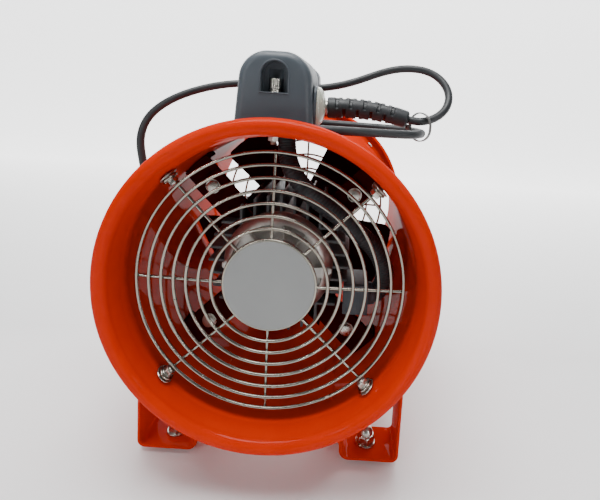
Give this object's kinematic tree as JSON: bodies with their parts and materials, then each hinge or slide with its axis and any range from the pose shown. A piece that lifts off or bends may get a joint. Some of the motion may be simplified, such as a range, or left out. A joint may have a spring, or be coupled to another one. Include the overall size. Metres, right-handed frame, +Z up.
{
  "type": "portable axial ventilator",
  "caption": "Round sheet-steel duct fan on bracket feet, with wire guards, a finned motor, an impeller, and a top carrying handle that holds the switch and cord.",
  "frame": {"origin": "on the floor, midway between the duct's two rims and under the duct's axis", "axes": "+Z up, +Y along the duct from the intake end (badge and switch end) to the outlet end, +X to the right as seen from the intake"},
  "size_m": [0.362, 0.4926, 0.4613],
  "materials": {
    "orange_enamel": "glossy orange-red enamel",
    "dark_red_enamel": "dark red enamel",
    "bright_wire": "bright plated welded wire",
    "zinc": "zinc-plated steel",
    "cast_alloy": "as-cast alloy",
    "motor_grey": "grey painted extrusion",
    "steel": "ground steel",
    "copper": "varnished windings on a steel stack",
    "black_plastic": "grained black moulding",
    "black_rubber": "black rubber",
    "grey_label": "plain silver-grey disc",
    "clear_cover": "clear soft cover",
    "rocker_red": "red translucent rocker",
    "nylon": "natural nylon"
  },
  "bodies": {
    "housing": {"duct_casing": "orange_enamel", "foot_front_left": "orange_enamel", "foot_front_right": "orange_enamel", "foot_rear_left": "orange_enamel", "foot_rear_right": "orange_enamel", "mount_arm_upper_right": "dark_red_enamel", "mount_arm_upper_left": "dark_red_enamel", "mount_arm_lower_left": "dark_red_enamel", "mount_arm_lower_right": "dark_red_enamel", "front_guard": "bright_wire", "rear_guard": "bright_wire", "cap_nut_front_left": "zinc", "cap_nut_front_right": "zinc", "cap_nut_rear_left": "zinc", "cap_nut_rear_right": "zinc", "front_guard_bolt_upper_right": "zinc", "front_guard_bolt_upper_left": "zinc", "front_guard_bolt_lower_left": "zinc", "front_guard_bolt_lower_right": "zinc", "rear_guard_bolt_upper_right": "zinc", "rear_guard_bolt_upper_left": "zinc", "rear_guard_bolt_lower_left": "zinc", "rear_guard_bolt_lower_right": "zinc", "mount_bolt_upper_right": "zinc", "mount_bolt_upper_left": "zinc", "mount_bolt_lower_left": "zinc", "mount_bolt_lower_right": "zinc", "handle_screw_front": "zinc", "handle_screw_rear": "zinc", "cable_gland": "zinc", "front_end_shield": "cast_alloy", "rear_end_shield": "cast_alloy", "run_capacitor": "cast_alloy", "motor_frame": "motor_grey", "front_bearing": "steel", "rear_bearing": "steel", "stator": "copper", "handle": "black_plastic", "switch_base": "black_plastic", "terminal_box": "black_plastic", "terminal_box_lid": "black_plastic", "rubber_foot_front_left": "black_rubber", "rubber_foot_front_right": "black_rubber", "rubber_foot_rear_left": "black_rubber", "rubber_foot_rear_right": "black_rubber", "strain_relief_boot": "black_rubber", "power_cord": "black_rubber", "cord_coil": "black_rubber", "plug": "black_rubber", "motor_lead": "black_rubber", "lead_grommet": "black_rubber", "badge_disc": "grey_label", "switch_cover": "clear_cover", "cord_tie": "nylon", "coil_wrap": "nylon"},
    "rotor": {"motor_shaft": "steel", "motor_rotor": "steel", "impeller": "dark_red_enamel", "impeller_nut": "zinc"},
    "rocker": {"switch_rocker": "rocker_red"}
  },
  "joints": [
    {"name": "impeller_spin", "type": "hinge", "parent": "housing", "child": "rotor", "pos_m": [0, 0, 0.227], "axis": [0, 1, 0], "continuous": true},
    {"name": "switch_rock", "type": "hinge", "parent": "housing", "child": "rocker", "pos_m": [0.0327, -0.138, 0.408], "axis": [0, 1, 0], "range_deg": [0, 16]}
  ]
}
